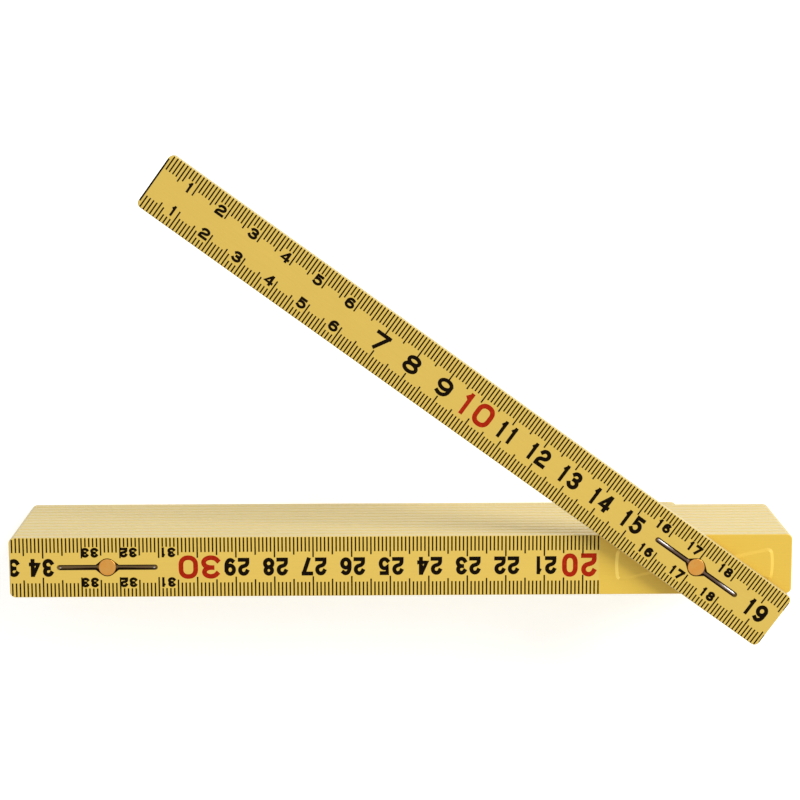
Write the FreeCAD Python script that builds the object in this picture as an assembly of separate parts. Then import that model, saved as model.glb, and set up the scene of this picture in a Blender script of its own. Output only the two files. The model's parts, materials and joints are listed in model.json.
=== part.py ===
import FreeCAD, Part
import math
import os

# A two-metre folding rule: thirteen flat moulded legs, joined end to end by twelve riveted
# spring joints and folded into a stack, with the first leg swung part of the way open.
#
# Frame, in millimetres: the folded stack lies on the back face of its last leg. +X runs along
# the legs, +Z rises through the stack to the first leg, and the origin is on that back face,
# midway between the two columns of rivets and on the legs' centre line.
#
# Each leg is drawn in a frame of its own: x runs the way the scale reads, from the joint with
# the leg before (x = -HALF_SPACING) to the joint with the leg after (x = +HALF_SPACING), and z
# runs from the back face (0) to the front face (LEG_THICKNESS).

# Legs
INCH = 25.4
LEG_COUNT = 13
LEG_WIDTH = 5 / 8 * INCH
LEG_THICKNESS = INCH / 8
LEG_GAP = 0.325
RIVET_SPACING = 6 * INCH
RIVET_TO_END = INCH
RULE_LENGTH = 2000.0
OPEN_ANGLE = 36.1
CORNER_RADIUS = 1.5
EDGE_RADIUS = 0.3

# Length of the first leg from its zero end to its rivet; the last leg takes up what is left.
ZERO_TO_RIVET = 170.8

# Rivets
SHANK_RADIUS = 1.5
RUNNING_CLEARANCE = 0.05
HEAD_RADIUS = 2.2
HEAD_THICKNESS = 0.6
HEAD_BELOW_FACE = 0.05
HEAD_ROUNDING = 0.12

# Leaf springs and the slots that hold them
SPRING_LENGTH = 25.4
SPRING_ARM_WIDTH = 1.15
SPRING_EYE_RADIUS = 2.1
SPRING_THICKNESS = 0.5
SPRING_TIP_TURN = 1.2
SPRING_TIP_DROP = 0.2
SLOT_LENGTH = 26.2
SLOT_WIDTH = 1.4
SLOT_EYE_RADIUS = 2.4
TAPER_END = 3.0
SLOT_SHELF_DEPTH = 1.0
SLOT_MIDDLE_DEPTH = 1.4
SLOT_MIDDLE_LENGTH = 18.0
SEAT_CLEARANCE = 0.02

# Click stop: a raised bow-tie on one leg and a matching recess in the back of the next
BOW_RADIUS = 20.65
BOW_HALF_ANGLE = 12.7
BOW_CORNER_RADIUS = 1.5
BOW_HEIGHT = 0.25
BOW_SLOPE_WIDTH = 0.8
BOW_TIP_HALF_WIDTH = 0.15
BOW_LEAST_INNER = 1.0
BOW_RECESS_MARGIN = 0.15
PAD_RADIUS = 3.6
PAD_HEIGHT = 0.3

# Worked out from the above
PITCH = LEG_THICKNESS + LEG_GAP
HALF_SPACING = RIVET_SPACING / 2
JOINT_COUNT = LEG_COUNT - 1
LAST_RIVET_TO_END = RULE_LENGTH - ZERO_TO_RIVET - (JOINT_COUNT - 1) * RIVET_SPACING
HOLE_RADIUS = SHANK_RADIUS + RUNNING_CLEARANCE
HEAD_UNDERSIDE_DEPTH = HEAD_BELOW_FACE + HEAD_THICKNESS
UP = FreeCAD.Vector(0, 0, 1)

# Cutting shapes stand clear of the face they sink from by OVERSHOOT, and heights closer than
# SAME_HEIGHT count as equal.
OVERSHOOT = 1.0
SAME_HEIGHT = 1e-6


def vec(x, y, z=0.0):
    return FreeCAD.Vector(x, y, z)


def line(start, end):
    return Part.LineSegment(start, end).toShape()


def arc(start, middle, end):
    return Part.Arc(start, middle, end).toShape()


def bezier(*poles):
    curve = Part.BezierCurve()
    curve.setPoles(list(poles))
    return curve.toShape()


def prism(edges, z_low, z_high):
    """Raises a closed outline drawn on z = 0 into a solid between two heights."""
    face = Part.Face(Part.Wire(Part.__sortEdges__(edges)))
    face.translate(vec(0, 0, z_low))
    return face.extrude(vec(0, 0, z_high - z_low))


def disc(radius, z_low, z_high):
    return Part.makeCylinder(radius, z_high - z_low, vec(0, 0, z_low))


def edges_at_height(solid, z):
    """The edges that lie wholly in the plane at height z."""
    return [edge for edge in solid.Edges
            if abs(edge.BoundBox.ZMin - z) < SAME_HEIGHT
            and abs(edge.BoundBox.ZMax - z) < SAME_HEIGHT]


def leaf_outline(length, arm_width, eye_radius):
    """Outline of a narrow strip with round ends that swells to a round eye at its middle.

    The flanks of the swelling run straight from the arm, tangent to the eye's circle.
    """
    half = arm_width / 2
    straight_end = length / 2 - half
    taper = vec(TAPER_END, half)
    angle = math.atan2(taper.y, taper.x) + math.acos(eye_radius / taper.Length)
    tangent = vec(eye_radius * math.cos(angle), eye_radius * math.sin(angle))
    edges = []
    for side in (1, -1):
        for end in (1, -1):
            edges.append(line(vec(end * straight_end, side * half), vec(end * taper.x, side * half)))
            edges.append(line(vec(end * taper.x, side * half), vec(end * tangent.x, side * tangent.y)))
        edges.append(arc(vec(tangent.x, side * tangent.y), vec(0, side * eye_radius),
                         vec(-tangent.x, side * tangent.y)))
    for end in (1, -1):
        edges.append(arc(vec(end * straight_end, half), vec(end * length / 2, 0),
                         vec(end * straight_end, -half)))
    return edges


def sector_outline(inset):
    """Outline of one wing of the bow-tie, a sector about the origin that opens towards +x.

    The whole outline is drawn in by the inset, or out by a negative one. The outer corners are
    rounded, and the inner end is cut off where the wing is almost down to a point.
    """
    across = math.radians(BOW_HALF_ANGLE)
    outer = BOW_RADIUS - inset
    corner = BOW_CORNER_RADIUS - inset
    inner = max(BOW_LEAST_INNER,
                (BOW_TIP_HALF_WIDTH + inset * math.cos(across)) / math.sin(across))
    centre_distance = outer - corner
    centre_along = math.sqrt(centre_distance ** 2 - (inset + corner) ** 2)

    def beside(along, inwards, side):
        """The point so far along a straight side, and so far in from the undrawn outline."""
        return vec(along * math.cos(across) + inwards * math.sin(across),
                   side * (along * math.sin(across) - inwards * math.cos(across)))

    edges = []
    arc_ends = []
    for side in (1, -1):
        centre = beside(centre_along, inset + corner, side)
        outward = centre * (1 / centre.Length)
        middle = outward + vec(-math.sin(across), side * math.cos(across))
        middle.normalize()
        side_end = beside(centre_along, inset, side)
        arc_end = outward * outer
        edges.append(line(beside(inner, inset, side), side_end))
        edges.append(arc(side_end, centre + middle * corner, arc_end))
        arc_ends.append(arc_end)
    edges.append(arc(arc_ends[0], vec(outer, 0), arc_ends[1]))
    edges.append(line(beside(inner, inset, 1), beside(inner, inset, -1)))
    return edges


def both_ways(solid):
    """The solid together with its copy turned half a turn about the pivot."""
    turned = solid.copy()
    turned.rotate(vec(0, 0), UP, 180)
    return [solid, turned]


def spring_pocket():
    """Space for a spring and a rivet head, sunk from a face at z = 0: deep at the eye, with a
    shallower shelf at each end for the spring's tips."""
    shelf = prism(leaf_outline(SLOT_LENGTH, SLOT_WIDTH, SLOT_EYE_RADIUS),
                  -SLOT_SHELF_DEPTH, OVERSHOOT)
    middle = prism(leaf_outline(SLOT_MIDDLE_LENGTH, SLOT_WIDTH, SLOT_EYE_RADIUS),
                   -SLOT_MIDDLE_DEPTH, OVERSHOOT)
    return shelf.fuse(middle)


def spring():
    """A leaf spring below a face at z = 0: its eye lies under the rivet head, and its arms rise
    towards the face and turn down at their tips, which rest on the slot's shelves."""
    eye_top = -HEAD_UNDERSIDE_DEPTH - SEAT_CLEARANCE
    tip_bottom = -SLOT_SHELF_DEPTH + SEAT_CLEARANCE
    crest_top = tip_bottom + SPRING_TIP_DROP + SPRING_THICKNESS
    tip_x = SPRING_LENGTH / 2
    crest_x = tip_x - SPRING_TIP_TURN
    third = (crest_x - TAPER_END) / 3

    def upper_edges(drop):
        """The half-arm's upper outline, or its lower one when drop is the thickness."""
        def at(x, top):
            return FreeCAD.Vector(x, 0, top - drop)
        return [
            line(at(0, eye_top), at(TAPER_END, eye_top)),
            bezier(at(TAPER_END, eye_top), at(TAPER_END + third, eye_top),
                   at(crest_x - third, crest_top), at(crest_x, crest_top)),
            bezier(at(crest_x, crest_top), at(crest_x + SPRING_TIP_TURN / 2, crest_top),
                   at(tip_x, crest_top - SPRING_TIP_DROP)),
        ]

    closing = [
        line(FreeCAD.Vector(0, 0, eye_top - SPRING_THICKNESS), FreeCAD.Vector(0, 0, eye_top)),
        line(FreeCAD.Vector(tip_x, 0, tip_bottom),
             FreeCAD.Vector(tip_x, 0, tip_bottom + SPRING_THICKNESS)),
    ]
    edges = upper_edges(0) + upper_edges(SPRING_THICKNESS) + closing
    profile = Part.Face(Part.Wire(Part.__sortEdges__(edges)))
    profile.translate(vec(0, -LEG_WIDTH / 2))
    arm, other_arm = both_ways(profile.extrude(vec(0, LEG_WIDTH)))
    blank = arm.fuse(other_arm).removeSplitter()
    outline = prism(leaf_outline(SPRING_LENGTH, SPRING_ARM_WIDTH, SPRING_EYE_RADIUS),
                    -LEG_THICKNESS, LEG_THICKNESS)
    eye_hole = disc(HOLE_RADIUS, -LEG_THICKNESS, LEG_THICKNESS)
    return blank.common(outline).cut(eye_hole)


def rivet():
    """One rivet from its lower head at z = 0, long enough to hold two legs."""
    length = PITCH + LEG_THICKNESS - 2 * HEAD_BELOW_FACE
    lower_head = disc(HEAD_RADIUS, 0, HEAD_THICKNESS)
    upper_head = disc(HEAD_RADIUS, length - HEAD_THICKNESS, length)
    lower_head = lower_head.makeFillet(HEAD_ROUNDING, edges_at_height(lower_head, 0))
    upper_head = upper_head.makeFillet(HEAD_ROUNDING, edges_at_height(upper_head, length))
    shank = disc(SHANK_RADIUS, 0, length)
    return shank.multiFuse([lower_head, upper_head]).removeSplitter()


def bow_tie():
    """Raised wings and bearing pad round a rivet hole, on a face at z = 0.

    The wings' walls slope, and reach their full outline at the face.
    """
    wires = []
    for side in (-1, 1):
        wire = Part.Wire(Part.__sortEdges__(sector_outline(side * BOW_SLOPE_WIDTH)))
        wire.translate(vec(0, 0, side * BOW_HEIGHT))
        wires.append(wire)
    wing = Part.makeLoft(wires, True, True)
    return both_ways(wing) + [disc(PAD_RADIUS, -BOW_HEIGHT, PAD_HEIGHT)]


def bow_tie_recess():
    """Space for a bow-tie, sunk from a face at z = 0 that looks down."""
    return both_ways(prism(sector_outline(-BOW_RECESS_MARGIN), -OVERSHOOT, BOW_HEIGHT))


def blank_leg(x_start, x_end):
    """A plain leg with rounded corners and softened edges."""
    blank = Part.makeBox(x_end - x_start, LEG_WIDTH, LEG_THICKNESS,
                         vec(x_start, -LEG_WIDTH / 2))
    corners = [edge for edge in blank.Edges
               if abs(edge.BoundBox.ZLength - LEG_THICKNESS) < SAME_HEIGHT]
    blank = blank.makeFillet(CORNER_RADIUS, corners)
    rims = edges_at_height(blank, 0) + edges_at_height(blank, LEG_THICKNESS)
    return blank.makeFillet(EDGE_RADIUS, rims)


def flipped(solid):
    """The solid turned over, so that what was sunk from a front face is sunk from a back one."""
    turned = solid.copy()
    turned.rotate(vec(0, 0), FreeCAD.Vector(1, 0, 0), 180)
    return turned


def moved(solid, x, z=0.0):
    shifted = solid.copy()
    shifted.translate(vec(x, 0, z))
    return shifted


def leg(number):
    """One leg with what its joints need: at the end where it meets the leg before, the bow-tie
    on the front and a spring pocket in the back; at the end where it meets the leg after, a
    spring pocket in the front and the bow-tie's recess in the back."""
    first = number == 1
    last = number == LEG_COUNT
    x_start = HALF_SPACING - ZERO_TO_RIVET if first else -HALF_SPACING - RIVET_TO_END
    x_end = LAST_RIVET_TO_END - HALF_SPACING if last else HALF_SPACING + RIVET_TO_END
    shape = blank_leg(x_start, x_end)
    hole = disc(HOLE_RADIUS, -LEG_THICKNESS, 2 * LEG_THICKNESS)
    raised = []
    sunk = []
    if not first:
        raised += [moved(solid, -HALF_SPACING, LEG_THICKNESS) for solid in bow_tie()]
        sunk += [moved(flipped(spring_pocket()), -HALF_SPACING), moved(hole, -HALF_SPACING)]
    if not last:
        sunk += [moved(solid, HALF_SPACING) for solid in bow_tie_recess()]
        sunk += [moved(spring_pocket(), HALF_SPACING, LEG_THICKNESS), moved(hole, HALF_SPACING)]
    if raised:
        shape = shape.multiFuse(raised)
    for space in sunk:
        shape = shape.cut(space)
    return shape.removeSplitter()


def place_with_leg(solid, number):
    """Puts a solid drawn in a leg's own frame at that leg's place in the folded stack."""
    placed = solid.copy()
    if number % 2 == 0:
        placed.rotate(vec(0, 0), UP, 180)
    placed.translate(vec(0, 0, (LEG_COUNT - number) * PITCH))
    if number == 1:
        placed.rotate(vec(HALF_SPACING, 0), UP, -OPEN_ANGLE)
    return placed


def build():
    """Every separate piece of the rule, by name."""
    pieces = {}
    for number in range(1, LEG_COUNT + 1):
        pieces[f"leg_{number:02d}"] = place_with_leg(leg(number), number)
    for joint in range(1, JOINT_COUNT + 1):
        front_spring = moved(spring(), HALF_SPACING, LEG_THICKNESS)
        back_spring = moved(flipped(spring()), -HALF_SPACING)
        pin = moved(rivet(), -HALF_SPACING, HEAD_BELOW_FACE)
        pieces[f"front_spring_{joint:02d}"] = place_with_leg(front_spring, joint)
        pieces[f"back_spring_{joint:02d}"] = place_with_leg(back_spring, joint + 1)
        pieces[f"rivet_{joint:02d}"] = place_with_leg(pin, joint + 1)
    return pieces


os.makedirs("parts", exist_ok=True)
for name, piece in build().items():
    piece.exportStep(f"parts/{name}.step")
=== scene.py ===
import json
import math

import bmesh
import bpy
from mathutils import Matrix, Vector


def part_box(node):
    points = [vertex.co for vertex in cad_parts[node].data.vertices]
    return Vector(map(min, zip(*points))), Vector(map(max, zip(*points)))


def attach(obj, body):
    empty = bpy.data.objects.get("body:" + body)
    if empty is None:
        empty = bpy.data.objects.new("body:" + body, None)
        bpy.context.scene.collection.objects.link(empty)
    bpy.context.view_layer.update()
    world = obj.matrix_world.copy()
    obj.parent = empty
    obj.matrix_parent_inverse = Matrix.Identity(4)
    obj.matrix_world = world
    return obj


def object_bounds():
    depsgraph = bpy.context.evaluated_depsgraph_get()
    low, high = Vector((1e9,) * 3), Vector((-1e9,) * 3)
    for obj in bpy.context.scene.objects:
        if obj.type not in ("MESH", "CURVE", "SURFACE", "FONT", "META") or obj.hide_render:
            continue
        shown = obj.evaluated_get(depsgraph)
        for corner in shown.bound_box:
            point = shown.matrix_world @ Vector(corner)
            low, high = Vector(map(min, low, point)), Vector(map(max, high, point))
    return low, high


# A two-metre folding rule lying folded on a pale table, its first leg swung part of the way open.
# The legs, rivets and springs come from the frame. This script prints the scales on the legs,
# gives every piece its material, and sets up the camera, light and table.
#
# Each leg's print is laid out in that leg's own coordinates, in metres: x runs the way the scale
# reads, with 0 midway between the two columns of rivets, y runs up the numbers, and z runs from
# the leg's back face (0) to its front face (THICKNESS).

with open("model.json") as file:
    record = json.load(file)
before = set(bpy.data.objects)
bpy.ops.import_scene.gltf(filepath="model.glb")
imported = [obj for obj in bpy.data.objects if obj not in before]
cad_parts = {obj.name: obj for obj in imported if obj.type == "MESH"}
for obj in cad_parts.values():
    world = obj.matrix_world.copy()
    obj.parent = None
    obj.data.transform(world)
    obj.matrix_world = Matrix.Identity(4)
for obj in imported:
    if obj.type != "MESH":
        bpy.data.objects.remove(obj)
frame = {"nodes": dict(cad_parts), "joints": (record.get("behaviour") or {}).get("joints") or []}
cad_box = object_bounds()

MM = 0.001

# Places and sizes from the frame
joints = {joint["name"]: joint for joint in frame["joints"]}
JOINT_COUNT = len(joints)
LEG_COUNT = JOINT_COUNT + 1
HALF_SPACING = joints["joint_01"]["pos_m"][0]
RIVET_SPACING = 2 * HALF_SPACING
PITCH = joints["joint_01"]["pos_m"][2] - joints["joint_02"]["pos_m"][2]
OPEN_ANGLE = -math.radians(joints["joint_01"]["range_deg"][0])
leg_low, leg_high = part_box("leg_02")
first_low, first_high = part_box("leg_01")
_, last_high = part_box(f"leg_{LEG_COUNT:02d}")
WIDTH = leg_high.y - leg_low.y
THICKNESS = first_high.z - first_low.z
RIVET_TO_END = leg_high.x - HALF_SPACING
LAST_RIVET_TO_END = last_high.x + HALF_SPACING

# The scale: readings are distances along the unfolded rule from its zero end
RULE_LENGTH = 2.0
FIRST_RIVET_READING = RULE_LENGTH - (JOINT_COUNT - 1) * RIVET_SPACING - LAST_RIVET_TO_END
FIRST_LEG_START = HALF_SPACING - FIRST_RIVET_READING
LAST_LEG_END = LAST_RIVET_TO_END - HALF_SPACING
TICKS_PER_CM = 10
TICKS_PER_RED_NUMBER = 100

# Print, measured on the leg
EDGE_RADIUS = 0.3 * MM
CORNER_RADIUS = 1.5 * MM
INK_THICKNESS = 0.02 * MM
INK_OFFSET = 0.5
MERGE_DISTANCE = 1e-4 * MM
EDGE_WRAP = (0, 15, 30)
END_WRAP = (0, 30, 60)
TICK_WIDTH = 0.38 * MM
TICK_LENGTH = 3.9 * MM
HALF_TICK_LENGTH = 4.7 * MM
CM_TICK_LENGTH = 5.4 * MM
SHORT_TICK_LENGTH = 2.45 * MM
LAST_TICK_LENGTH = 2.4 * MM
# How far the print sits off centre, by leg number. Ticks move by the whole shift across the leg
# and numbers by a part of it. The whole print slips a little along the leg, and the plain numbers,
# the red numbers and the numbers past the slot slip by a further amount each.
PRINT_SHIFTS = {1: -0.3 * MM}
PRINT_SHIFT = 0.1 * MM
NUMBER_SHIFT = 0.4
PRINT_SLIPS = {1: 0.2 * MM, 2: -0.18 * MM}
NUMBER_SLIPS = {1: (0.0, -0.12 * MM, 0.0), 2: (-0.22 * MM, -0.8 * MM, 0.4 * MM)}
NO_SLIPS = (0.0, 0.0, 0.0)
READING_SLACK = 1e-6
SMALL_ROW = 3.95 * MM
FIRST_SMALL_ROWS = {1: 3.6 * MM, 2: 3.88 * MM}
SLOT_LENGTH = 26.2 * MM
# How far the print runs on under the end of the neighbouring leg when the joint is straight
PRINT_OVERLAP = 0.65 * MM


def leg_matrix(number):
    """Where a leg's own coordinates lie in the row frame."""
    place = Matrix.Translation((0, 0, (LEG_COUNT - number) * PITCH))
    if number % 2 == 0:
        place @= Matrix.Rotation(math.pi, 4, "Z")
    if number == 1:
        pivot = Vector((HALF_SPACING, 0, 0))
        swing = Matrix.Rotation(-OPEN_ANGLE, 4, "Z")
        place = Matrix.Translation(pivot) @ swing @ Matrix.Translation(-pivot) @ place
    return place


def rivet_reading(joint):
    return FIRST_RIVET_READING + (joint - 1) * RIVET_SPACING


# ---------------------------------------------------------------- numerals

ARC_STEP = math.radians(18)


def bow(cx, cy, rx, ry, start, end):
    """Points along part of an ellipse, from one angle to another in degrees."""
    a, b = math.radians(start), math.radians(end)
    steps = max(2, round(abs(b - a) / ARC_STEP))
    return [(cx + rx * math.cos(a + (b - a) * i / steps),
             cy + ry * math.sin(a + (b - a) * i / steps)) for i in range(steps + 1)]


def loop(rx, ry):
    """A closed rounded outline that fills the numeral's box."""
    return (bow(1 - rx, 1 - ry, rx, ry, 0, 90) + bow(rx, 1 - ry, rx, ry, 90, 180)
            + bow(rx, ry, rx, ry, 180, 270) + bow(1 - rx, ry, rx, ry, 270, 360))


def upside_down(strokes):
    return [([(1 - x, 1 - y) for x, y in points], closed) for points, closed in strokes]


SIX = [
    (bow(0.5, 0.3, 0.5, 0.3, 180, -162), True),
    ([(0, 0.3)] + bow(0.52, 0.58, 0.52, 0.42, 180, 55), False),
]

# Each numeral is a list of strokes, centre lines in a box one unit wide and one unit high.
# A stroke that is closed joins its last point to its first.
NUMERALS = {
    "0": [(loop(0.44, 0.34), True)],
    "1": [([(0.52, 1.0), (0.52, 0.0)], False), ([(0.3, 0.82), (0.48, 0.94)], False)],
    "2": [(bow(0.5, 0.73, 0.48, 0.27, 160, -65) + bow(0.5, 0.18, 0.5, 0.26, 115, 180)
           + [(0.0, 0.0), (1.0, 0.0)], False)],
    "3": [(bow(0.5, 0.765, 0.45, 0.235, 155, -90) + [(0.42, 0.53)], False),
          ([(0.42, 0.53)] + bow(0.5, 0.265, 0.5, 0.265, 90, -155), False)],
    "4": [([(0.77, 0.0), (0.77, 1.0)], False),
          ([(0.66, 0.96), (0.0, 0.25), (1.0, 0.25)], False)],
    "5": [([(0.86, 1.0), (0.14, 1.0), (0.08, 0.52)] + bow(0.48, 0.33, 0.52, 0.33, 120, -140), False)],
    "6": SIX,
    "7": [([(0.0, 1.0), (1.0, 1.0)], False), ([(0.94, 0.92), (0.34, 0.0)], False)],
    "8": [(bow(0.5, 0.765, 0.44, 0.235, 0, 342), True),
          (bow(0.5, 0.265, 0.5, 0.265, 0, 342), True)],
    "9": upside_down(SIX),
}
ONE_WIDTH = 0.78
ONE_WEIGHT = 0.86
MITRE_LIMIT = 1.5
LEAST_MITRE_COSINE = 0.1


def stroke_sides(points, closed, half_width):
    """The two sides of a stroke, with mitred joins and square ends, as pairs of points."""
    points = [Vector(point) for point in points]
    if not closed:
        points[0] += (points[0] - points[1]).normalized() * half_width
        points[-1] += (points[-1] - points[-2]).normalized() * half_width
    count = len(points)
    pairs = []
    for i, here in enumerate(points):
        before = points[i - 1] if closed or i > 0 else None
        after = points[(i + 1) % count] if closed or i < count - 1 else None
        into = (here - before).normalized() if before is not None else (after - here).normalized()
        out = (after - here).normalized() if after is not None else into
        normals = [Vector((-d.y, d.x)) for d in (into, out)]
        middle = (normals[0] + normals[1]).normalized()
        cosine = max(middle.dot(normals[0]), LEAST_MITRE_COSINE)
        reach = min(1 / cosine, MITRE_LIMIT) * half_width
        pairs.append((here + middle * reach, here - middle * reach))
    return pairs


def numeral_gap(stroke):
    """The space between numerals, wider in the red numbers."""
    return stroke * (RED_NUMERAL_GAP if stroke == RED_STROKE else NUMERAL_GAP)


def text_width(text, width, stroke):
    """How wide a number prints, for numerals of a given width."""
    numerals = sum(width * (ONE_WIDTH if c == "1" else 1) for c in text)
    return numerals + numeral_gap(stroke) * (len(text) - 1)


class Print:
    """Flat inked faces on one side of one leg, collected before they become a mesh."""

    def __init__(self, limits):
        self.low, self.high = limits
        self.mesh = bmesh.new()

    def add(self, points):
        """Adds a convex face given by (x, y, z) points, cut off where the print ends."""
        for limit, sign in ((self.low, 1), (self.high, -1)):
            kept = []
            for i, point in enumerate(points):
                before = points[i - 1]
                inside, was_inside = sign * (point[0] - limit) >= 0, sign * (before[0] - limit) >= 0
                if inside != was_inside:
                    t = (limit - before[0]) / (point[0] - before[0])
                    kept.append(tuple(b + t * (p - b) for b, p in zip(before, point)))
                if inside:
                    kept.append(point)
            points = kept
        if len(points) > 2:
            self.mesh.faces.new([self.mesh.verts.new(point) for point in points])

    def number(self, text, centre, size, stroke):
        """Prints a number centred on a point. size is (numeral width, height)."""
        width, height = size
        x = centre[0] - text_width(text, width, stroke) / 2
        y = centre[1] - height / 2
        for c in text:
            w = text_width(c, width, stroke)
            weight = stroke * (ONE_WEIGHT if c == "1" else 1)
            for layer, (points, closed) in enumerate(NUMERALS[c]):
                line = [(x + weight / 2 + px * (w - weight), y + weight / 2 + py * (height - weight))
                        for px, py in points]
                pairs = stroke_sides(line, closed, weight / 2)
                if closed:
                    pairs.append(pairs[0])
                for (a, b), (d, e) in zip(pairs, pairs[1:]):
                    self.add([(q.x, q.y, layer * STROKE_RISE) for q in (a, b, e, d)])
            x += w + numeral_gap(stroke)

    def finish(self, name, place, ink):
        """Makes the print a piece of the object, a thin layer on the leg."""
        bmesh.ops.remove_doubles(self.mesh, verts=self.mesh.verts, dist=MERGE_DISTANCE)
        bmesh.ops.recalc_face_normals(self.mesh, faces=self.mesh.faces)
        for face in self.mesh.faces:
            if face.normal.z < 0:
                face.normal_flip()
        data = bpy.data.meshes.new(name)
        self.mesh.transform(place)
        self.mesh.to_mesh(data)
        self.mesh.free()
        piece = bpy.data.objects.new(name, data)
        bpy.context.scene.collection.objects.link(piece)
        layer = piece.modifiers.new("ink", "SOLIDIFY")
        layer.thickness = INK_THICKNESS
        layer.offset = INK_OFFSET
        data.materials.append(ink)
        return piece


# Strokes and numeral boxes, by how many digits the number has. Gaps between numerals are parts of
# the stroke, and each further stroke of a numeral lies a little higher so that none coincide.
NUMERAL_GAP = 0.5
RED_NUMERAL_GAP = 0.7
STROKE_RISE = 0.004 * MM
LARGE_STROKES = {1: 0.98 * MM, 2: 1.04 * MM, 3: 0.95 * MM}
LARGE_SIZES = {1: (4.35 * MM, 4.8 * MM), 2: (3.2 * MM, 4.78 * MM), 3: (2.3 * MM, 4.7 * MM)}
RED_STROKE = 1.22 * MM
RED_SIZES = {1: (5.0 * MM, 6.1 * MM), 2: (5.0 * MM, 6.2 * MM), 3: (3.2 * MM, 6.1 * MM)}
SMALL_STROKES = {1: 0.7 * MM, 2: 0.72 * MM, 3: 0.5 * MM}
SMALL_SIZES = {1: (2.6 * MM, 2.85 * MM), 2: (2.08 * MM, 2.62 * MM), 3: (1.4 * MM, 2.6 * MM)}
# The space between a small number and the tick it belongs to
FIRST_LEG_GAPS = {1: 0.6 * MM, 2: 0.72 * MM}
SMALL_GAP_TO_TICK = -0.12 * MM
ONE_GAP_TO_TICK = 0.3 * MM
# A number near the start of the print is squeezed and kept off its border, one that the leg's end
# cuts is pulled in, other red ones are pushed on, and past the first leg plain numbers of two or
# more digits are narrower.
RED_PUSH = 0.25 * MM
EDGE_MARGIN = 0.7 * MM
SQUEEZE = 0.81
NARROWED = 0.93
# How near the slot's end a number's middle may come before small numbers replace it
LARGE_CLEARANCE = 3.2 * MM
RED_CLEARANCE = 5.2 * MM
CUT_NUMBER_TICKS = 2
CUT_NUMBER_REACH = 3 * MM
CUT_NUMBER_PULL = 1.1 * MM
MAKERS_BLANK_END = 65 * MM


def corner_drop(x, ends):
    """How far the leg's rounded corners bring its long edges in at x. ends is (start, end)."""
    inside = min(x - ends[0], ends[1] - x)
    if inside >= CORNER_RADIUS:
        return 0.0
    return CORNER_RADIUS - math.sqrt(CORNER_RADIUS ** 2 - (CORNER_RADIUS - max(inside, 0.0)) ** 2)


def add_tick(ink, x, edge, length, shift, ends):
    """One line from a long edge inwards. It follows the leg's rounded edge at its outer end."""
    half = TICK_WIDTH / 2
    end_y = WIDTH / 2 - length + edge * shift
    profile = [(end_y, 0.0)]
    drop = max(corner_drop(x - half, ends), corner_drop(x + half, ends))
    centre = WIDTH / 2 - EDGE_RADIUS - drop
    for degrees in EDGE_WRAP:
        angle = math.radians(degrees)
        profile.append((centre + EDGE_RADIUS * math.sin(angle), EDGE_RADIUS * (math.cos(angle) - 1)))
    for (y0, z0), (y1, z1) in zip(profile, profile[1:]):
        ink.add([(x - half, edge * y0, z0), (x + half, edge * y0, z0),
                 (x + half, edge * y1, z1), (x - half, edge * y1, z1)])


def add_end_line(ink, x, outward, width, length):
    """A line that wraps over a leg's end, from each corner inwards. x is where the end's rounding
    starts, and outward is +1 or -1."""
    half_y = WIDTH / 2 - CORNER_RADIUS
    ink.low, ink.high = -math.inf, math.inf
    profile = [(x - outward * width / 2, 0.0)]
    for degrees in END_WRAP:
        angle = math.radians(degrees)
        out = outward * EDGE_RADIUS * math.sin(angle)
        profile.append((x + out, EDGE_RADIUS * (math.cos(angle) - 1)))
    for (x0, z0), (x1, z1) in zip(profile, profile[1:]):
        for y0, y1 in ((half_y - length, half_y), (-half_y, length - half_y)):
            ink.add([(x0, y0, z0), (x0, y1, z0), (x1, y1, z1), (x1, y0, z1)])


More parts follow.
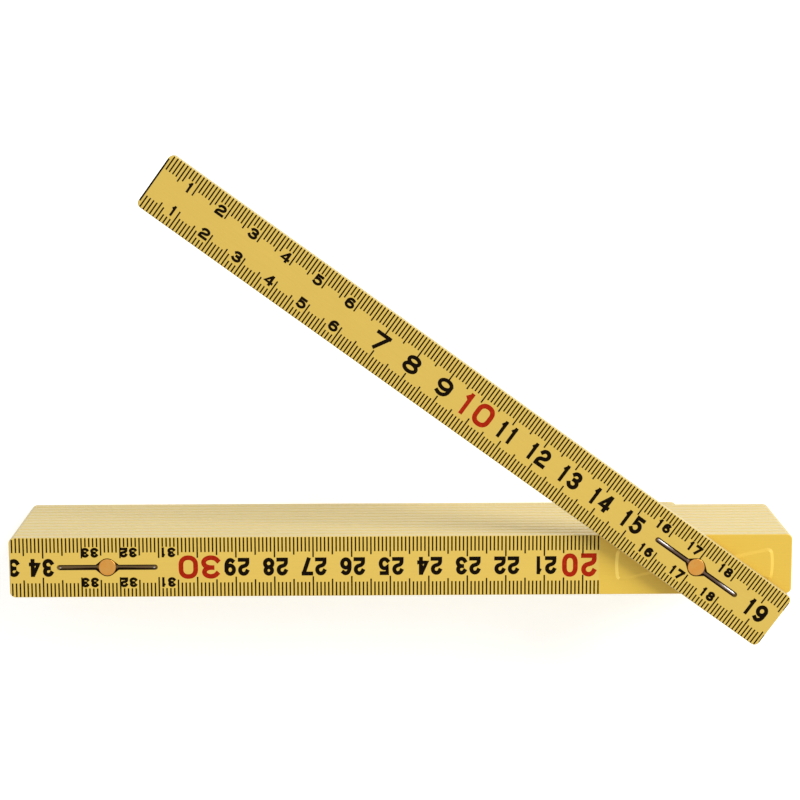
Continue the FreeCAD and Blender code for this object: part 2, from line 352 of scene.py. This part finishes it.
def print_scale(limits, ends, rivet_x, zero_x, shift, first_leg, slips):
    """Prints one side of one leg: black and red faces. Readings are in ticks of a millimetre, and
    zero_x is where the scale's zero would lie.
    slips moves the plain numbers, the red numbers and the numbers past the slot along the leg.
    Numbers beside the slot, and on the first leg's blank strip, are small and printed twice."""
    black, red = Print(limits), Print(limits)
    low, high = limits
    first_tick = max(1, math.ceil((low - zero_x) / MM - READING_SLACK))
    last_tick = math.floor((high - zero_x) / MM + READING_SLACK)
    covered = []
    number_y = shift * NUMBER_SHIFT
    for tick in range(first_tick, last_tick + CUT_NUMBER_TICKS + 1):
        if tick % TICKS_PER_CM or tick * MM > RULE_LENGTH - MM:
            continue
        x = zero_x + tick * MM
        text = str(tick // TICKS_PER_CM)
        is_red = tick % TICKS_PER_RED_NUMBER == 0
        ink = red if is_red else black
        clearance = SLOT_LENGTH / 2 + (RED_CLEARANCE if is_red else LARGE_CLEARANCE)
        near_slot = rivet_x is not None and abs(x - rivet_x) < clearance
        if near_slot or (first_leg and tick * MM < MAKERS_BLANK_END):
            size, stroke = SMALL_SIZES[len(text)], SMALL_STROKES[len(text)]
            width = text_width(text, size[0], stroke)
            if first_leg:
                gap = FIRST_LEG_GAPS[len(text)]
            else:
                gap = ONE_GAP_TO_TICK if text.endswith("1") else SMALL_GAP_TO_TICK
            middle = x - gap - width / 2
            covered.append((middle - width / 2 - TICK_WIDTH, x - TICK_WIDTH))
            small_row = FIRST_SMALL_ROWS[len(text)] if first_leg else SMALL_ROW
            for row in (small_row, -small_row):
                ink.number(text, (middle, row + number_y), size, stroke)
            continue
        sizes, stroke = (RED_SIZES, RED_STROKE) if is_red else (LARGE_SIZES, LARGE_STROKES[len(text)])
        width, height = sizes[len(text)]
        if len(text) > 1 and not is_red and not first_leg:
            width *= NARROWED
        total = text_width(text, width, stroke)
        if x - total / 2 < low + EDGE_MARGIN:
            width *= SQUEEZE
            x = low + EDGE_MARGIN + text_width(text, width, stroke) / 2
        elif x > high - CUT_NUMBER_REACH:
            x += slips[2] - CUT_NUMBER_PULL
        elif rivet_x is not None and x > rivet_x:
            x += slips[2]
        elif is_red:
            x += RED_PUSH + slips[1]
        else:
            x += slips[0]
        ink.number(text, (x, number_y), (width, height), stroke)
    for tick in range(first_tick, last_tick + 1):
        x = zero_x + tick * MM
        length = TICK_LENGTH
        if tick % TICKS_PER_CM == 0:
            length = CM_TICK_LENGTH
        elif any(a < x < b for a, b in covered):
            length = SHORT_TICK_LENGTH
        elif tick % (TICKS_PER_CM // 2) == 0:
            length = HALF_TICK_LENGTH
        for edge in (1, -1):
            add_tick(black, x, edge, length, shift, ends)
    if first_leg:
        add_end_line(black, low, -1, TICK_WIDTH, WIDTH / 2 - CORNER_RADIUS)
    if high < zero_x + (last_tick + 1) * MM < ends[1] + TICK_WIDTH / 2:
        add_end_line(black, high, 1, 0.0, LAST_TICK_LENGTH)
    return black, red


def print_leg(number, ink_black, ink_red):
    """Prints both faces of a leg. The front reads from the rule's zero end and the back from its
    other end, and the plate on the far side of each joint is left bare."""
    first, last = number == 1, number == LEG_COUNT
    start_x = FIRST_LEG_START if first else -HALF_SPACING - RIVET_TO_END
    end_x = LAST_LEG_END if last else HALF_SPACING + RIVET_TO_END
    plate_end = RIVET_TO_END - HALF_SPACING - PRINT_OVERLAP
    shift = PRINT_SHIFTS.get(number, PRINT_SHIFT * (-1 if number % 2 else 1))
    front_zero = HALF_SPACING - rivet_reading(number) + PRINT_SLIPS.get(number, 0.0)
    back_zero = HALF_SPACING - (RULE_LENGTH - rivet_reading(number - 1))
    sides = (
        ("front", Matrix.Translation((0, 0, THICKNESS)), (start_x, end_x), front_zero, first, last),
        ("back", Matrix.Rotation(math.pi, 4, "Y"), (-end_x, -start_x), back_zero, last, first),
    )
    for side, turn, ends, zero_x, starts_scale, ends_scale in sides:
        limits = (ends[0] + EDGE_RADIUS if starts_scale else plate_end, ends[1] - EDGE_RADIUS)
        rivet_x = None if ends_scale else HALF_SPACING
        slips = NUMBER_SLIPS.get(number, NO_SLIPS) if side == "front" else NO_SLIPS
        inks = print_scale(limits, ends, rivet_x, zero_x, shift, starts_scale, slips)
        for ink, colour, material in zip(inks, ("black", "red"), (ink_black, ink_red)):
            if ink.mesh.faces:
                name = f"{side}_print_{colour}_{number:02d}"
                piece = ink.finish(name, leg_matrix(number) @ turn, material)
                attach(piece, f"leg_{number:02d}")
            else:
                ink.mesh.free()


# ---------------------------------------------------------------- materials


class Nodes:
    """A material's node tree, with short ways to add to it."""

    def __init__(self, name):
        self.material = bpy.data.materials.new(name)
        self.material.use_nodes = True
        self.tree = self.material.node_tree
        self.shader = self.tree.nodes["Principled BSDF"]

    def add(self, kind, inputs=None, **settings):
        node = self.tree.nodes.new(kind)
        for key, value in settings.items():
            setattr(node, key, value)
        for key, value in (inputs or {}).items():
            self.put(node.inputs[key], value)
        return node

    def put(self, socket, value):
        if isinstance(value, bpy.types.NodeSocket):
            self.tree.links.new(value, socket)
        else:
            socket.default_value = value

    def math(self, operation, a, b=0.0, clamp=False):
        return self.add("ShaderNodeMath", {0: a, 1: b}, operation=operation, use_clamp=clamp).outputs[0]

    def weighted(self, start, *terms):
        """A starting value plus each term's value times its weight."""
        total = start
        for value, weight in terms:
            total = self.math("ADD", total, self.math("MULTIPLY", value, weight))
        return total

    def step(self, value, low, high):
        """0 below low, 1 above high, smooth between."""
        node = self.add("ShaderNodeMapRange", {0: value, 1: low, 2: high, 3: 0.0, 4: 1.0},
                        interpolation_type="SMOOTHSTEP")
        return node.outputs[0]

    def mix(self, factor, a, b):
        node = self.add("ShaderNodeMix", data_type="RGBA")
        self.put(node.inputs[0], factor)
        self.put(node.inputs[6], a)
        self.put(node.inputs[7], b)
        return node.outputs[2]

    def scaled(self, vector, scale):
        return self.add("ShaderNodeVectorMath", {0: vector, 1: scale}, operation="MULTIPLY").outputs[0]

    def noise(self, vector, scale, detail=2.0, roughness=0.5):
        return self.add("ShaderNodeTexNoise", {"Vector": vector, "Scale": scale, "Detail": detail,
                                               "Roughness": roughness}).outputs[0]

    def finish(self, colour=None, roughness=None, metallic=None, bumps=(), normal=None):
        for socket, value in (("Base Color", colour), ("Roughness", roughness), ("Metallic", metallic)):
            if value is not None:
                self.put(self.shader.inputs[socket], value)
        for height, distance in bumps:
            bump = self.add("ShaderNodeBump", {"Height": height, "Distance": distance, "Strength": 1.0})
            if normal is not None:
                self.put(bump.inputs["Normal"], normal)
            normal = bump.outputs[0]
        if normal is not None:
            self.put(self.shader.inputs["Normal"], normal)
        return self.material


PRINTED_YELLOW = (0.75, 0.51, 0.085, 1)
BARE_YELLOW = (0.745, 0.49, 0.056, 1)
# Paler yellow painted on the bow-tie's sloped edges as a highlight
HIGHLIGHT_YELLOW = (1.0, 0.71, 0.13, 1)
EDGE_CREAM = (0.49, 0.392, 0.162, 1)
# Painted shade in the spring slots
SLOT_SHADE = (0.085, 0.05, 0.016, 1)
FIRST_LEG_TONE = 0.91
# How far a surface's normal points up, or along the leg, where each part of it begins and is full
FLAT_UPRIGHT = (0.55, 0.9)
BOW_TIE_UPRIGHT = (0.965, 0.985)
BOW_TIE_END_LEAN = (0.1, 0.2)
# How strong the painted highlight on the bow-tie's slopes is where they face the other way along the
# leg
FAR_END_HIGHLIGHT = 0.3
# Detail and roughness of the finer noises
FINE_NOISE = (3.0, 0.6)
STREAK_STRETCH = (0.04, 1.0, 1.0)
STREAK_SCALE = 3500.0
CLOUD_SCALE = 40.0
GRAIN_SCALE = 2600.0
BASE_TONE = 0.90
STREAK_TONE = 0.11
CLOUD_TONE = 0.05
GRAIN_TONE = 0.04
NYLON_ROUGHNESS = 0.40
STREAK_ROUGHNESS = 0.16
STREAK_HEIGHT = 0.02 * MM
GRAIN_HEIGHT = 0.012 * MM
# Painted shade in the slots: how deep below the faces it comes in, how far it reaches across the leg,
# and how much it eases off near the slot's ends
SHADE_DEPTH = 0.12 * MM
SHADE_WIDTH = 3.0 * MM
SLOT_END = 0.9 * MM
END_SHADE_EASING = 0.9


def local_point(nodes, number):
    """The shaded point in a leg's own coordinates."""
    coords = nodes.add("ShaderNodeTexCoord")
    place = leg_matrix(number)
    local = nodes.add("ShaderNodeMapping", {"Vector": coords.outputs["Object"],
                                            "Location": place.translation,
                                            "Rotation": place.to_euler()}, vector_type="TEXTURE")
    return local.outputs[0]


def slot_shade_mask(nodes, axes):
    """1 on the walls and floors of the spring slots, where shade is painted in, growing with depth
    below the faces and easing off near the slot's ends, and 0 elsewhere.
    """
    x, y, z = axes.outputs
    along = nodes.math("ABSOLUTE", nodes.math("SUBTRACT", nodes.math("ABSOLUTE", x), HALF_SPACING))
    depth = nodes.math("MINIMUM", z, nodes.math("SUBTRACT", THICKNESS, z))
    near = nodes.math("LESS_THAN", along, SLOT_LENGTH / 2 + SHADE_DEPTH)
    narrow = nodes.math("LESS_THAN", nodes.math("ABSOLUTE", y), SHADE_WIDTH)
    deep = nodes.step(depth, SHADE_DEPTH / 3, SHADE_DEPTH)
    ends = nodes.step(along, SLOT_LENGTH / 2 - SLOT_END, SLOT_LENGTH / 2 - SLOT_END / 2)
    shaded = nodes.math("SUBTRACT", 1.0, nodes.math("MULTIPLY", ends, END_SHADE_EASING))
    within = nodes.math("MULTIPLY", near, narrow)
    return nodes.math("MULTIPLY", within, nodes.math("MULTIPLY", deep, shaded))


def leg_material(number):
    """Glass-filled nylon: yellow faces, a richer yellow where a joint's plate is left unprinted, a
    painted highlight in paler yellow on the sloped edges of its bow-tie, painted shade in the spring
    slots, and paler long edges with the fibres showing as fine streaks along the leg."""
    nodes = Nodes(f"leg_nylon_{number:02d}")
    coords = nodes.add("ShaderNodeTexCoord")
    point = local_point(nodes, number)
    axes = nodes.add("ShaderNodeSeparateXYZ", {0: point})
    x = axes.outputs[0]
    lengthwise, _, normal = nodes.add("ShaderNodeSeparateXYZ", {0: coords.outputs["Normal"]}).outputs
    upright = nodes.math("ABSOLUTE", normal)
    flat = nodes.step(upright, *FLAT_UPRIGHT)
    plate_end = HALF_SPACING - RIVET_TO_END + PRINT_OVERLAP
    front_plate = nodes.math("MULTIPLY", nodes.math("LESS_THAN", x, -plate_end),
                             nodes.math("GREATER_THAN", normal, 0.0))
    back_plate = nodes.math("MULTIPLY", nodes.math("GREATER_THAN", x, plate_end),
                            nodes.math("LESS_THAN", normal, 0.0))
    if number == 1:
        plate = back_plate
    elif number == LEG_COUNT:
        plate = front_plate
    else:
        plate = nodes.math("MAXIMUM", front_plate, back_plate)
    # Painted highlight: on the bare plate, the bow-tie's sloped edges are mixed towards a paler yellow,
    # fully where they face -x and less where they face +x
    sloped = nodes.math("SUBTRACT", 1.0, nodes.step(upright, *BOW_TIE_UPRIGHT))
    towards = nodes.step(nodes.math("MULTIPLY", lengthwise, -1.0), *BOW_TIE_END_LEAN)
    away = nodes.step(lengthwise, *BOW_TIE_END_LEAN)
    wear_and_highlight = nodes.math("ADD", towards, nodes.math("MULTIPLY", FAR_END_HIGHLIGHT, away))
    bare = nodes.mix(nodes.math("MULTIPLY", sloped, wear_and_highlight), BARE_YELLOW, HIGHLIGHT_YELLOW)
    face_colour = nodes.mix(plate, PRINTED_YELLOW, bare)
    colour = nodes.mix(flat, EDGE_CREAM, face_colour)
    streaks = nodes.noise(nodes.scaled(point, STREAK_STRETCH), STREAK_SCALE, *FINE_NOISE)
    clouds = nodes.noise(point, CLOUD_SCALE, 3.0)
    grain = nodes.noise(point, GRAIN_SCALE, 2.0)
    # Painted shade in the spring slots, darker deeper in
    colour = nodes.mix(slot_shade_mask(nodes, axes), colour, SLOT_SHADE)
    tone = nodes.weighted(BASE_TONE, (streaks, STREAK_TONE), (clouds, CLOUD_TONE), (grain, GRAIN_TONE))
    if number == 1:
        tone = nodes.math("MULTIPLY", tone, FIRST_LEG_TONE)
    shade = nodes.add("ShaderNodeCombineXYZ", {0: tone, 1: tone, 2: tone}).outputs[0]
    colour = nodes.scaled(colour, shade)
    rough = nodes.weighted(NYLON_ROUGHNESS, (streaks, STREAK_ROUGHNESS))
    return nodes.finish(colour, rough, bumps=((streaks, STREAK_HEIGHT), (grain, GRAIN_HEIGHT)))


INK_SHEEN = 0.03
INK_SCALE = 1800.0
INK_ROUGHNESS = 0.5
PATCHY_ROUGHNESS = 0.2
WORN_INK = (1.5, 0.003)
INK_PATCH = (0.4, 0.8)
BLACK_INK = (0.006, 0.003, 0.001, 1)
RED_INK = (0.35, 0.016, 0.003, 1)


def ink_material(name, colour):
    """Matt printing ink, slightly uneven and greyer where it is thin."""
    nodes = Nodes(name)
    coords = nodes.add("ShaderNodeTexCoord").outputs["Object"]
    cover = nodes.noise(coords, INK_SCALE, *FINE_NOISE)
    patch = nodes.step(cover, *INK_PATCH)
    gain, haze = WORN_INK
    wear_and_highlight = tuple(c * gain + haze for c in colour[:3]) + (1,)
    rough = nodes.weighted(INK_ROUGHNESS, (cover, PATCHY_ROUGHNESS))
    nodes.shader.inputs["Specular IOR Level"].default_value = INK_SHEEN
    return nodes.finish(nodes.mix(patch, colour, wear_and_highlight), rough)


COPPER = (1.0, 0.50, 0.115, 1)
DULL_COPPER = (0.98, 0.43, 0.08, 1)
RIVET_ROUGHNESS = 0.28
DULL_ROUGHNESS = 0.22
SCRATCH_STRETCH = (1.0, 0.15, 1.0)
SCRATCH_SCALE = 6000.0
SCRATCH_HEIGHT = 0.01 * MM
DULL_SCALE = 900.0
DULL_PATCH = (0.3, 0.7)
DULL_HEIGHT = 0.02 * MM


def rivet_material():
    """Coppered steel: fine scratches across each head, with rubbed and dull patches."""
    nodes = Nodes("rivet_copper")
    coords = nodes.add("ShaderNodeTexCoord").outputs["Object"]
    scratches = nodes.noise(nodes.scaled(coords, SCRATCH_STRETCH), SCRATCH_SCALE, *FINE_NOISE)
    patches = nodes.noise(coords, DULL_SCALE, 4.0, 0.6)
    colour = nodes.mix(nodes.step(patches, *DULL_PATCH), COPPER, DULL_COPPER)
    rough = nodes.weighted(RIVET_ROUGHNESS, (patches, DULL_ROUGHNESS))
    bumps = ((scratches, SCRATCH_HEIGHT), (patches, DULL_HEIGHT))
    return nodes.finish(colour, rough, 1.0, bumps=bumps)


# Painted shade along the spring arms' edges
EDGE_SHADE_BROWN = (0.03, 0.013, 0.006, 1)
OILED_STEEL = (0.21, 0.135, 0.06, 1)
# A lighter grey painted into the first leg's spring for the light it catches
LIT_STEEL_GREY = (0.26, 0.17, 0.16, 1)
# Painted highlight line near the spring arms' tips
HIGHLIGHT_STEEL = (0.95, 0.90, 0.88, 1)
# Painted shade at the spring tips, in the orange-brown of the shaded slot ends
TIP_SHADE_BROWN = (0.42, 0.20, 0.06, 1)
ARM_WIDTH = 1.15 * MM
EYE_END = 2.6 * MM
# Where the painted highlight line begins and is full, where it fades, and where the painted shade on
# the tip begins and is full, all as parts of the way from the rivet to the slot's end
HIGHLIGHT_RISE = (0.9, 0.93)
FIRST_LEG_HIGHLIGHT_RISE = (0.5, 0.8)
HIGHLIGHT_FADE = (0.93, 0.96)
TIP_SHADE = (0.945, 0.965)
# The painted highlight line's distance from the arm's middle and its soft half width, and where painted
# shade darkens the arm's edge
HIGHLIGHT_OFF_CENTRE = 0.15 * ARM_WIDTH
HIGHLIGHT_HALF_WIDTH = (0.06 * ARM_WIDTH, 0.19 * ARM_WIDTH)
EDGE_SHADE = (0.25 * ARM_WIDTH, 0.5 * ARM_WIDTH)
HIGHLIGHT_WANDER = 0.2 * MM
DRAWN_STRETCH = (0.05, 1.0, 1.0)
DRAWN_SCALE = 9000.0
DRAWN_HEIGHT = 0.01 * MM
OIL_SCALE = 700.0
SPRING_ROUGHNESS = 0.25
DRAWN_ROUGHNESS = 0.2
ROUND_HALF_WIDTH = 0.6 * ARM_WIDTH
MOST_LEAN = 0.9


def spring_material(number):
    """Spring steel, browned and oiled, with painted shade darkening it towards its edges. Each arm has
    a painted highlight line near its tip, longest on the first leg, whose steel is a lighter grey
    painted for the light it catches, and its very tip is painted the orange-brown of shade."""
    nodes = Nodes(f"spring_steel_{number:02d}")
    point = local_point(nodes, number)
    x, y, _ = nodes.add("ShaderNodeSeparateXYZ", {0: point}).outputs
    along = nodes.math("ABSOLUTE", nodes.math("SUBTRACT", nodes.math("ABSOLUTE", x), HALF_SPACING))
    drawn = nodes.noise(nodes.scaled(point, DRAWN_STRETCH), DRAWN_SCALE)
    patches = nodes.noise(point, OIL_SCALE, 3.0)
    wander = nodes.math("MULTIPLY", nodes.math("SUBTRACT", patches, 0.5), HIGHLIGHT_WANDER)
    # The first leg's spring is painted patchily lighter for the light it catches
    steel = nodes.mix(patches, OILED_STEEL, LIT_STEEL_GREY if number == 1 else OILED_STEEL)
    off_centre = nodes.math("ABSOLUTE", y)
    # Painted shade darkens each arm towards its edges
    crown = nodes.math("SUBTRACT", 1.0, nodes.step(off_centre, *EDGE_SHADE))
    colour = nodes.mix(crown, EDGE_SHADE_BROWN, steel)
    reach = 0.5 * SLOT_LENGTH
    highlight_rise, fade, tip_shade = (
        nodes.step(along, begins * reach, full * reach)
        for begins, full in (FIRST_LEG_HIGHLIGHT_RISE if number == 1 else HIGHLIGHT_RISE, HIGHLIGHT_FADE, TIP_SHADE)
    )
    before_tip = nodes.math("SUBTRACT", 1.0, fade)
    # Painted highlight: a soft bright line off the arm's middle near each tip, fading out before the
    # tip
    band = nodes.math("ABSOLUTE", nodes.math("SUBTRACT", nodes.math("ADD", y, wander), HIGHLIGHT_OFF_CENTRE))
    line = nodes.math("SUBTRACT", 1.0, nodes.step(band, *HIGHLIGHT_HALF_WIDTH))
    # Painted shade on each arm's tip
    colour = nodes.mix(tip_shade, colour, TIP_SHADE_BROWN)
    highlight = nodes.math("MULTIPLY", nodes.math("MULTIPLY", highlight_rise, before_tip), line)
    colour = nodes.mix(highlight, colour, HIGHLIGHT_STEEL)
    rough = nodes.weighted(SPRING_ROUGHNESS, (drawn, DRAWN_ROUGHNESS))
    # The arms' rounded section, as a normal that leans outwards across the arm
    across = leg_matrix(number).to_3x3() @ Vector((0, 1, 0))
    across = nodes.add("ShaderNodeVectorTransform", {0: across}, vector_type="VECTOR",
                       convert_from="OBJECT", convert_to="WORLD").outputs[0]
    lean = nodes.add("ShaderNodeClamp", {0: nodes.math("DIVIDE", y, ROUND_HALF_WIDTH), 1: -MOST_LEAN,
                                         2: MOST_LEAN}).outputs[0]
    lean = nodes.math("MULTIPLY", lean, nodes.math("GREATER_THAN", along, EYE_END))
    upright = nodes.math("SQRT", nodes.math("SUBTRACT", 1.0, nodes.math("MULTIPLY", lean, lean)))
    flat = nodes.add("ShaderNodeNewGeometry").outputs["Normal"]
    leaning = nodes.add("ShaderNodeVectorMath", {0: nodes.scaled(flat, upright),
                                                 1: nodes.scaled(across, lean)},
                        operation="ADD").outputs[0]
    rounded = nodes.add("ShaderNodeVectorMath", {0: leaning}, operation="NORMALIZE").outputs[0]
    return nodes.finish(colour, rough, 1.0, bumps=((drawn, DRAWN_HEIGHT),), normal=rounded)


def use_material(node, material):
    data = frame["nodes"][node].data
    data.materials.clear()
    data.materials.append(material)


def dress_object():
    rivets = rivet_material()
    ink_black = ink_material("ink_black", BLACK_INK)
    ink_red = ink_material("ink_red", RED_INK)
    for number in range(1, LEG_COUNT + 1):
        springs = spring_material(number)
        use_material(f"leg_{number:02d}", leg_material(number))
        print_leg(number, ink_black, ink_red)
        if number < LEG_COUNT:
            use_material(f"front_spring_{number:02d}", springs)
        if number > 1:
            use_material(f"back_spring_{number - 1:02d}", springs)
            use_material(f"rivet_{number - 1:02d}", rivets)


# ---------------------------------------------------------------- stage

CAMERA_DISTANCE = 0.585
CAMERA_TILT = math.radians(9.23)
CAMERA_YAW = math.radians(0.48)
CAMERA_ROLL = math.radians(0.2)
CAMERA_LENS = 102.65
SENSOR_WIDTH = 36.0
CLIP_START = 0.01
AIM_X = -0.15 * MM
AIM_Y = 43.6 * MM
TABLE_SIZE = 6
TABLE_GLOW = 0.4
TABLE_GRAIN_SCALE = 400.0
TABLE_COLOURS = ((0.93, 0.93, 0.925, 1), (0.96, 0.96, 0.955, 1))
TABLE_ROUGHNESS = 0.75
SURROUND = 0.62
# Each softbox: its name, size, power in watts, place, and the point it faces
SOFTBOXES = (
    ("softbox", (1.0, 0.7), 17.6, (0.91, 0.76, 0.75), (0, 0.03, 0.04)),
    ("fill", (1.2, 0.3), 5.0, (-0.25, -1.1, 0.09), (0, 0, 0.03)),
)


def add_floor():
    """A plain pale table top under the rule, faintly lit from within so that shadows stay light."""
    bpy.ops.mesh.primitive_plane_add(size=TABLE_SIZE, location=(0, 0, cad_box[0][2]))
    floor = bpy.context.object
    floor.name = "table_top"
    nodes = Nodes("pale_table")
    coords = nodes.add("ShaderNodeTexCoord").outputs["Object"]
    grain = nodes.noise(coords, TABLE_GRAIN_SCALE, 3.0)
    colour = nodes.mix(grain, *TABLE_COLOURS)
    nodes.shader.inputs["Emission Color"].default_value = (1, 1, 1, 1)
    nodes.shader.inputs["Emission Strength"].default_value = TABLE_GLOW
    floor.data.materials.append(nodes.finish(colour, TABLE_ROUGHNESS))


def add_camera():
    """Looks almost straight down at the stack, tilted so that its far long edges show."""
    top = (LEG_COUNT - 2) * PITCH + THICKNESS
    forward = Vector((math.sin(CAMERA_YAW) * math.cos(CAMERA_TILT), -math.sin(CAMERA_TILT),
                      -math.cos(CAMERA_YAW) * math.cos(CAMERA_TILT)))
    right = Vector((math.cos(CAMERA_YAW), 0, math.sin(CAMERA_YAW)))
    up = right.cross(forward)
    right, up = (right * math.cos(CAMERA_ROLL) - up * math.sin(CAMERA_ROLL),
                 up * math.cos(CAMERA_ROLL) + right * math.sin(CAMERA_ROLL))
    data = bpy.data.cameras.new("camera")
    data.lens = CAMERA_LENS
    data.sensor_width = SENSOR_WIDTH
    data.clip_start = CLIP_START
    camera = bpy.data.objects.new("camera", data)
    bpy.context.scene.collection.objects.link(camera)
    rotation = Matrix((right, up, -forward)).transposed().to_4x4()
    target = Vector((AIM_X, AIM_Y, top))
    camera.matrix_world = Matrix.Translation(target - forward * CAMERA_DISTANCE) @ rotation
    bpy.context.scene.camera = camera


def add_lights():
    """Plain soft studio light: a pale surround, one large softbox up and to the right, and a
    weak low fill that reaches the sides facing the viewer."""
    world = bpy.data.worlds.new("surround")
    bpy.context.scene.world = world
    world.use_nodes = True
    world.node_tree.nodes["Background"].inputs[0].default_value = (1, 1, 1, 1)
    world.node_tree.nodes["Background"].inputs[1].default_value = SURROUND
    for name, size, power, place, aim in SOFTBOXES:
        data = bpy.data.lights.new(name, "AREA")
        data.shape = "RECTANGLE"
        data.size, data.size_y = size
        data.energy = power
        light = bpy.data.objects.new(name, data)
        light.location = place
        light.rotation_euler = (Vector(aim) - light.location).to_track_quat("-Z", "Y").to_euler()
        bpy.context.scene.collection.objects.link(light)
    bpy.context.scene.view_settings.view_transform = "Standard"


dress_object()
add_floor()
add_lights()
add_camera()
